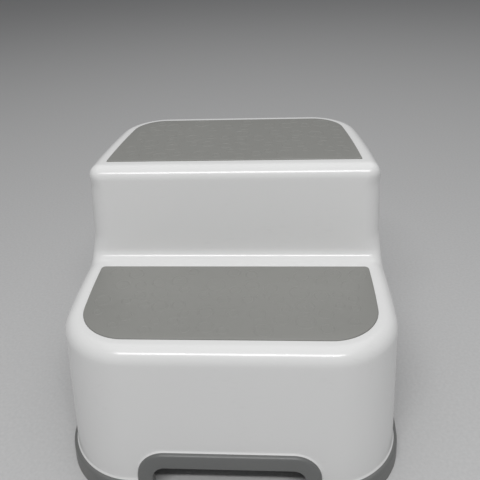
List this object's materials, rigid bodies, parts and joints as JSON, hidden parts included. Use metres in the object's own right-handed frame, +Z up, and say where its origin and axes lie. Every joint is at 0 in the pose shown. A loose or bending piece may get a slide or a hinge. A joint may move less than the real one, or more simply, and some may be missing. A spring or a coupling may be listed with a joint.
{
  "type": "step stool",
  "caption": "Low step stool with a drafted hollow plastic shell, a soft mat set in each tread and a soft base ring that arches over the floor on each side.",
  "frame": {"origin": "middle of the base, on the floor", "axes": "+Z up; -Y is the front, where the lower tread is; +X is to the right of someone who stands in front of the stool and faces it"},
  "size_m": [0.321, 0.351, 0.2425],
  "materials": {
    "shell_plastic": "white injection-moulded polypropylene with a smooth gloss",
    "mat_rubber": "mid-grey soft thermoplastic rubber, satin, with faint raised marks",
    "ring_rubber": "darker grey soft thermoplastic rubber, satin"
  },
  "bodies": {
    "root": {"shell": "shell_plastic", "lower_tread_mat": "mat_rubber", "upper_tread_mat": "mat_rubber", "base_ring": "ring_rubber"}
  },
  "joints": []
}
